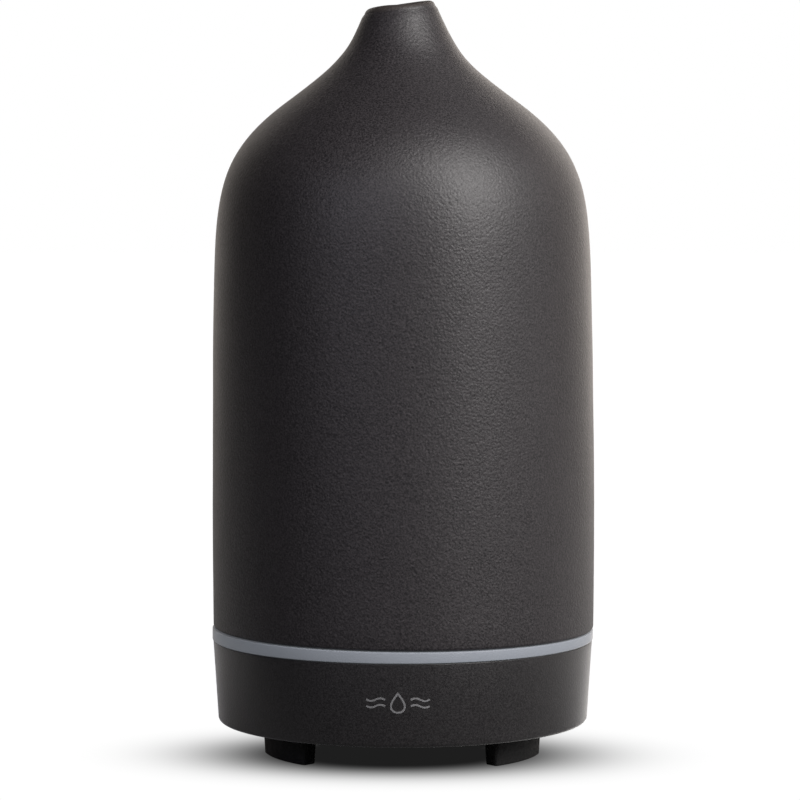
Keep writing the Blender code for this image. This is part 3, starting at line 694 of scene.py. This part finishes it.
def build_plate(materials):
    """Bottom plate with its screw wells, foot pockets and the fan's intake slots."""
    disc = [
        (0, PLATE_LOW),
        (PLATE_RADIUS - PLATE_CHAMFER, PLATE_LOW),
        (PLATE_RADIUS, PLATE_LOW + PLATE_CHAMFER),
        (PLATE_RADIUS, PLATE_TOP),
        (0, PLATE_TOP),
    ]
    plate = lathe("bottom_plate", disc, ROUND, materials["black_plastic"])
    posts = []
    holes = []
    for angle in CASE_POST_ANGLES:
        spot = polar(CASE_POST_RADIUS, angle)
        posts.append(rod("post", PLATE_POST, PLATE_TOP - 0.5, CASE_POST_TOP, spot))
        holes.append(rod("well", SCREW_WELL, PLATE_LOW - CUT_PAST, SCREW_WELL_TOP, spot))
        holes.append(rod("hole", SCREW_HOLE, SCREW_WELL_TOP - 0.8, CASE_POST_TOP + CUT_PAST, spot))
    for middle in FOOT_ANGLES.values():
        outline = pad_outline(middle, -FOOT_PLAY)
        holes.append(upright("pocket", outline, PLATE_LOW - CUT_PAST, FOOT_TOP + FOOT_PLAY))
    for row in range(-3, 4):
        holes.append(intake_slot(row * SLOT_PITCH))
    combine(plate, posts, "UNION")
    combine(plate, holes, "DIFFERENCE")
    dress(plate, "base", "bottom_cover")


def intake_slot(across):
    """One round-ended slot; together they fill a circle under the fan."""
    half_length = math.sqrt(INTAKE_RADIUS**2 - across**2) - SLOT_HALF_WIDTH
    x, y = FAN_CENTRE[0] + across, FAN_CENTRE[1]
    outline = arc((x, y + half_length), SLOT_HALF_WIDTH, 0, 180, 8)
    outline += arc((x, y - half_length), SLOT_HALF_WIDTH, 180, 360, 8)
    return upright("slot", outline, PLATE_LOW - CUT_PAST, PLATE_TOP + CUT_PAST)


# ---- lid and tank -----------------------------------------------------------------------
def build_lid(materials):
    """Bell-shaped inner lid with its mist chimney."""
    outer = bezier(BELL_CURVE, 28)
    outer.append(Vector(BELL_CURVE[-1]))
    inner = [(point.x - LID_WALL, point.y - 0.6) for point in reversed(outer)]
    half_wall = LID_WALL / 2
    profile = [(LID_SKIRT - 0.4, LID_SKIRT_LOW), (LID_SKIRT, LID_SKIRT_LOW + 0.4)]
    profile += [(LID_SKIRT, LID_FLANGE_LOW)]
    profile += rounding((LID_FLANGE, LID_FLANGE_LOW), 0.3, -90, 0, 3)
    profile += rounding((LID_FLANGE, LID_FLANGE_TOP), 0.4, 0, 90, 3)
    profile += rounding((LID_RADIUS, LID_FLANGE_TOP), 0.4, 270, 180, 3)
    profile += [tuple(point) for point in outer]
    profile += arc((CHIMNEY_RADIUS - half_wall, CHIMNEY_TOP - half_wall), half_wall, 0, 180, 8)
    profile += inner
    profile += [(LID_SKIRT - LID_WALL, LID_FLANGE_TOP), (LID_SKIRT - LID_WALL, LID_SKIRT_LOW)]
    lid = lathe("mist_lid", profile, ROUND, materials["white_plastic"])
    dress(lid, "inner_lid", "inner_lid")


def tank_profile():
    """Up the outside and over the rim, down the inside past the fill line to the disc's seat."""
    collar = RING_HIGH + 0.25
    profile = [(TANK_SKIRT, TANK_SKIRT_LOW), (TANK_SKIRT, collar), (40.0, collar)]
    profile += [(40.0, collar + 1.2), (TANK_SKIRT, collar + 1.2), (TANK_RADIUS, RIM_HEIGHT - 0.6)]
    profile += rounding((TANK_RADIUS, RIM_HEIGHT), 0.6, 15, 90, 4)
    profile += rounding((TANK_RADIUS - TANK_WALL, RIM_HEIGHT), 0.5, 90, 180, 4)
    profile += [(35.95, FILL_LINE + 0.4), (35.55, FILL_LINE), (35.9, FILL_LINE - 0.4)]
    profile += bezier(((35.4, 44.5), (35.2, 40.8), (33.4, 38.7), (29.5, 38.5)), 10)
    profile += [(29.5, 38.5), (13.5, 37.2)]
    profile += bezier(((13.2, 37.1), (12.6, 36.9), (12.6, 36.2), (11.8, 36.1)), 4)
    profile += [(WELL_RADIUS + 0.3, 36.0), (WELL_RADIUS, 35.7), (WELL_RADIUS, DISC_SEAT_HEIGHT)]
    profile += [(DISC_SEAT_RADIUS, DISC_SEAT_HEIGHT), (DISC_SEAT_RADIUS, TANK_FLOOR)]
    profile += [(14.2, TANK_FLOOR), (14.2, 34.4), (TANK_INNER, 35.4), (TANK_INNER, TANK_SKIRT_LOW)]
    return profile


def duct_profiles():
    """The air duct's tube, filled, and the bore that is cut from it and from the floor below."""
    duct = [
        (0, DUCT_LOW),
        (DUCT_RADIUS, DUCT_LOW),
        (DUCT_RADIUS, DUCT_TOP - 0.4),
        (DUCT_RADIUS - 0.4, DUCT_TOP),
        (0, DUCT_TOP),
    ]
    bore = [
        (0, 30.0),
        (DUCT_BORE, 30.0),
        (DUCT_BORE, DUCT_TOP - 0.3),
        (DUCT_BORE + 0.6, DUCT_TOP + 0.3),
        (0, DUCT_TOP + 0.3),
    ]
    return duct, bore


def build_tank(materials):
    """Water tank: bowl, screw posts below it, and the air duct that stands in the water."""
    tank = lathe("water_tank", tank_profile(), ROUND, materials["white_plastic"])
    posts = []
    holes = []
    for angle in CASE_POST_ANGLES:
        spot = polar(CASE_POST_RADIUS, angle)
        posts.append(rod("post", TANK_POST, CASE_POST_TOP + 0.2, POST_ROOT, spot))
        holes.append(rod("hole", TANK_POST_HOLE, CASE_POST_TOP - CUT_PAST, 30.0, spot))
    for angle in CLAMP_SCREW_ANGLES:
        spot = polar(CLAMP_SCREW_RADIUS, angle)
        posts.append(rod("post", CLAMP_POST, TANK_FLOOR, POST_ROOT, spot))
        holes.append(rod("hole", CLAMP_POST_HOLE, 30.0, 35.1, spot))
    duct, bore = duct_profiles()
    posts.append(lathe("duct", duct, MEDIUM, at=(*DUCT_CENTRE, 0)))
    holes.append(lathe("duct_bore", bore, MEDIUM, at=(*DUCT_CENTRE, 0)))
    combine(tank, posts, "UNION")
    combine(tank, holes, "DIFFERENCE")
    dress(tank, "base", "water_reservoir")


# ---- rear controls ----------------------------------------------------------------------
def build_buttons(materials):
    """Two push buttons, each with a flange behind the wall and a slightly dished face."""
    profile = [(0, 38.95), (1.5, 38.95), (1.5, 40.0), (BUTTON_FLANGE, 40.0), (BUTTON_FLANGE, 41.1)]
    profile += [(BUTTON_RADIUS, 41.1)]
    profile += rounding((BUTTON_RADIUS, BUTTON_FACE), 0.5, 0, 75, 5)
    profile += [(1.7, BUTTON_FACE - 0.08), (0, BUTTON_FACE - 0.25)]
    for use, angle in BUTTON_ANGLES.items():
        turn = facing_out(angle, CONTROL_HEIGHT)
        cap = lathe(f"{use}_cap", profile, BUTTON_STEPS, materials["black_plastic"], turn=turn)
        dress(cap, f"{use}_button", f"{use}_button")


def build_inlet(materials):
    """Socket for the mains adapter's plug."""
    out = facing_out(INLET_ANGLE, CONTROL_HEIGHT)
    outline = [(-4.5, 28.5), (4.5, 28.5), (4.5, 39.0), (-4.5, 39.0)]
    body = upright("inlet_socket", outline, 13.5, 20.4, materials["black_plastic"])
    nose = [(0, 38.6), (INLET_NOSE, 38.6), (INLET_NOSE, 44.15), (INLET_NOSE - 0.2, 44.35), (0, 44.35)]
    bore = [(0, 33.0), (INLET_BORE, 33.0), (INLET_BORE, 43.9), (INLET_BORE + 0.5, 44.4)]
    bore += [(INLET_BORE + 0.5, 46.0), (0, 46.0)]
    combine(body, [lathe("nose", nose, MEDIUM, turn=out)], "UNION")
    combine(body, [lathe("bore", bore, MEDIUM, turn=out)], "DIFFERENCE")
    dress(body, "base", "dc_jack")


# ---- printed mark -----------------------------------------------------------------------
def shell_radius(height):
    share = (height - SHELL_LOW) / (SHELL_TOP - SHELL_LOW)
    return SHELL_RADIUS_LOW + (SHELL_RADIUS_TOP - SHELL_RADIUS_LOW) * share


def on_shell(across, height, proud):
    """Point on the base's front wall, `across` millimetres along it and `proud` off it."""
    radius = shell_radius(height)
    angle = math.radians(-90) + across / radius
    return (radius + proud) * math.cos(angle), (radius + proud) * math.sin(angle), height


def printed_line(name, path, closed, material):
    """A thin printed stroke that follows a path on the wall."""
    half = MARK_STROKE / 2
    count = len(path)
    corners = ((-half, MARK_SUNK), (half, MARK_SUNK), (half, MARK_PROUD), (-half, MARK_PROUD))
    slices = []
    for index, here in enumerate(path):
        before = path[index - 1] if index or closed else here
        after = path[(index + 1) % count] if index < count - 1 or closed else here
        along = Vector((after[0] - before[0], after[1] - before[1])).normalized()
        section = []
        for side, proud in corners:
            across = here[0] - along.y * side
            height = MARK_HEIGHT + here[1] + along.x * side
            section.append(on_shell(across, height, proud))
        slices.append(section)
    line = to_object(name, sweep(slices, closed), material, smooth=False)
    dress(line, "base", None)


def droplet_path(width, height):
    """Outline of a drop: round below, drawn to a point above."""
    points = []
    for step in range(DROP_STEPS):
        angle = 2 * math.pi * step / DROP_STEPS
        across = width / 2 * math.sin(angle) * math.sin(angle / 2) ** 1.2
        points.append((across, height / 2 * math.cos(angle)))
    return points


def wave_path(side, height):
    """One wave of mist at the left (-1) or right (1) of the drop, drawn outwards."""
    points = []
    for step in range(WAVE_STEPS + 1):
        along = step / WAVE_STEPS
        across = side * (WAVE_START + WAVE_LENGTH * along)
        points.append((across, height + WAVE_HEIGHT * math.sin(along * 2 * math.pi)))
    return points


def build_mark(materials):
    """Plain drop with two waves of mist on each side, in place of the maker's lettering."""
    printed_line("mark_drop", droplet_path(*DROP_SIZE), True, materials["print"])
    for side, word in ((-1, "left"), (1, "right")):
        for row, height in enumerate(WAVE_ROWS, start=1):
            printed_line(f"mark_wave_{word}_{row}", wave_path(side, height), False, materials["print"])


# ---- CAD nodes that keep their shape ----------------------------------------------------
def finish_nodes(materials):
    """Give every CAD node its own slot's material; finer pieces then replace the outer ones."""
    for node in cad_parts.values():
        kind = node.data.materials[0].name.split(".")[0]
        node.data.materials.clear()
        node.data.materials.append(materials[kind])


# ---- studio -----------------------------------------------------------------------------
def build_floor():
    """White table. What it gives back to the object is less in front than behind."""
    size = FLOOR_HALF_SIZE * MM
    data = bpy.data.meshes.new("floor")
    corners = [(-size, -size, 0), (size, -size, 0), (size, size, 0), (-size, size, 0)]
    data.from_pydata(corners, [], [(0, 1, 2, 3)])
    floor = bpy.data.objects.new("floor", data)
    bpy.context.scene.collection.objects.link(floor)
    made = Nodes("floor")
    seen = made.add("ShaderNodeLightPath").outputs["Is Camera Ray"]
    split = made.add("ShaderNodeSeparateXYZ", Vector=made.coords).outputs
    bounce = made.fit(split["Y"], BOUNCE_FROM * MM, BOUNCE_TO * MM,
                      FLOOR_BOUNCE_FRONT, FLOOR_BOUNCE_REAR)
    grey = made.add("ShaderNodeCombineColor", Red=bounce, Green=bounce, Blue=bounce).outputs["Color"]
    glow = soft_shadow(made)
    made.use(Base_Color=made.blend(seen, grey, (0.0, 0.0, 0.0)), Roughness=1.0, Specular_IOR_Level=0.0,
             Emission_Color=(1.0, 1.0, 1.0), Emission_Strength=made.math("MULTIPLY", seen, glow))
    data.materials.append(made.material)


def soft_shadow(made):
    """Brightness of the table: dark under the object and white round it."""
    share = made.fit(distance_from(made, SHADOW_PLACE, SHADOW_STRETCH),
                     SHADOW_FROM * MM, SHADOW_TO * MM, 0.0, 1.0)
    fade = made.math("MULTIPLY", made.math("POWER", share, SHADOW_CURVE), -SHADOW_FADE)
    wide = made.fit(made.math("EXPONENT", fade, 0.0), 0.0, 1.0, FLOOR_WHITE, FLOOR_DARK)
    contact = made.fit(distance_from(made, CONTACT_PLACE, 1.0),
                       CONTACT_FROM * MM, CONTACT_TO * MM, FLOOR_DARK, FLOOR_WHITE)
    return made.math("MINIMUM", wide, contact)


def distance_from(made, place, stretch):
    """Distance on the table from a place, in metres, with its left-right part divided by `stretch`."""
    x, y = place
    oval = made.add("ShaderNodeMapping", Vector=made.coords, Scale=(1.0 / stretch, 1.0, 0.0),
                    Location=(-x * MM / stretch, -y * MM, 0.0)).outputs["Vector"]
    return made.add("ShaderNodeVectorMath", operation="LENGTH", Vector=oval).outputs["Value"]


def area_light(name, azimuth, height, distance, size, power, colour):
    """A softbox; azimuth 0 is the camera's side, positive towards +X."""
    light = bpy.data.lights.new(name, "AREA")
    light.shape = "RECTANGLE"
    light.size, light.size_y = size
    light.energy = power
    light.color = colour
    obj = bpy.data.objects.new(name, light)
    bpy.context.scene.collection.objects.link(obj)
    angle = math.radians(azimuth) + CAMERA_TURN
    place = Vector((math.sin(angle) * distance, -math.cos(angle) * distance, height))
    obj.location = place
    direction = Vector((0, 0, LIGHT_AIM * MM)) - place
    obj.rotation_euler = direction.to_track_quat("-Z", "Y").to_euler()
    obj.visible_camera = False


def build_world():
    """White to the camera, dim grey to the object."""
    world = bpy.data.worlds.new("studio")
    world.use_nodes = True
    bpy.context.scene.world = world
    tree = world.node_tree
    tree.nodes.clear()
    path = tree.nodes.new("ShaderNodeLightPath")
    seen = tree.nodes.new("ShaderNodeBackground")
    seen.inputs["Color"].default_value = (1, 1, 1, 1)
    seen.inputs["Strength"].default_value = 1.0
    fill = tree.nodes.new("ShaderNodeBackground")
    fill.inputs["Color"].default_value = (1, 1, 1, 1)
    fill.inputs["Strength"].default_value = FILL_STRENGTH
    mix = tree.nodes.new("ShaderNodeMixShader")
    out = tree.nodes.new("ShaderNodeOutputWorld")
    tree.links.new(path.outputs["Is Camera Ray"], mix.inputs[0])
    tree.links.new(fill.outputs[0], mix.inputs[1])
    tree.links.new(seen.outputs[0], mix.inputs[2])
    tree.links.new(mix.outputs[0], out.inputs[0])


def build_lights():
    """Key softboxes from the upper right, weak ones in front, and tan cards behind for the rims."""
    warm = (1.0, 0.98, 0.965)
    cool = (0.97, 0.955, 1.09)
    tan = (1.07, 0.98, 0.90)
    area_light("key", 43, 0.505, 0.75, (0.32, 0.48), 5.8, warm)
    area_light("key_low", 54, 0.40, 0.75, (0.3, 0.3), 1.08, warm)
    area_light("key_top", 50, 0.95, 0.65, (0.6, 0.3), 3.1, warm)
    area_light("top_middle", 9, 0.82, 0.70, (0.3, 0.3), 1.15, warm)
    area_light("rear_high", 146, 0.95, 0.60, (0.45, 0.45), 0.25, warm)
    area_light("side_right", 80, 0.40, 0.80, (0.3, 0.7), 1.1, warm)
    area_light("front", -8, 0.45, 0.80, (0.3, 0.3), 0.62, cool)
    area_light("front_left", -35, 0.36, 0.75, (0.25, 0.3), 0.6, cool)
    area_light("back_right", 125, 0.35, 0.85, (0.6, 0.6), 0.9, tan)
    area_light("back_left", -125, 0.35, 0.85, (0.6, 0.6), 0.2, tan)
    area_light("rear_right", 158, 0.31, 0.85, (0.5, 0.6), 1.82, tan)
    area_light("rear_left", -158, 0.33, 0.85, (0.5, 0.6), 0.8, tan)
    area_light("table_right", 150, 0.09, 0.80, (0.5, 0.14), 0.14, tan)
    area_light("table_left", -150, 0.09, 0.80, (0.5, 0.14), 0.09, tan)


def build_camera():
    """The photograph's camera, turned round the object's axis."""
    data = bpy.data.cameras.new("camera")
    data.lens = CAMERA_LENS
    data.sensor_width = 36.0
    camera = bpy.data.objects.new("camera", data)
    bpy.context.scene.collection.objects.link(camera)
    camera.location = Matrix.Rotation(CAMERA_TURN, 3, "Z") @ Vector(CAMERA_PLACE)
    camera.rotation_euler = (math.pi / 2 - CAMERA_PITCH, 0, CAMERA_TURN)
    bpy.context.scene.camera = camera


def main():
    bpy.context.scene.view_settings.view_transform = "Standard"
    materials = make_materials()
    finish_nodes(materials)
    build_cover(materials)
    build_ring(materials)
    build_shell(materials)
    build_feet(materials)
    build_plate(materials)
    build_lid(materials)
    build_tank(materials)
    build_buttons(materials)
    build_inlet(materials)
    build_mark(materials)
    build_floor()
    build_world()
    build_lights()
    build_camera()


main()
